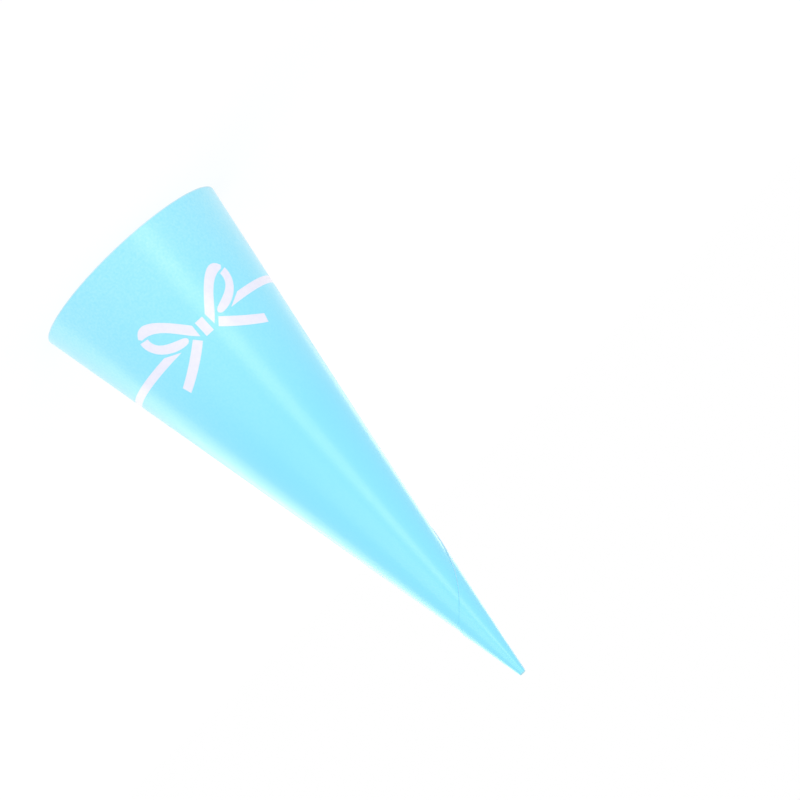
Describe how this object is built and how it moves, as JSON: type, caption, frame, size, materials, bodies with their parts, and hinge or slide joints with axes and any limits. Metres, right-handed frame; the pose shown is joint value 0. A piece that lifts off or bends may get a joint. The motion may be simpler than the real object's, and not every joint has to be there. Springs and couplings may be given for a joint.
{
  "type": "paper cone sleeve",
  "caption": "Conical paper sleeve wound from one sheet, open at the mouth and closed at a blunt tip, with a ribbon bow print.",
  "frame": {"origin": "centre of the mouth rim, on the surface that the sleeve stands on", "axes": "+Z along the cone's axis towards the tip, -Y towards the front with the bow, +X to the right seen from the front"},
  "size_m": [0.0557, 0.0559, 0.14],
  "materials": {
    "printed_paper": "coated glossy paper, sky blue print outside, bare white inside and in the bow"
  },
  "bodies": {
    "root": {"paper_cone": "printed_paper"}
  },
  "joints": []
}
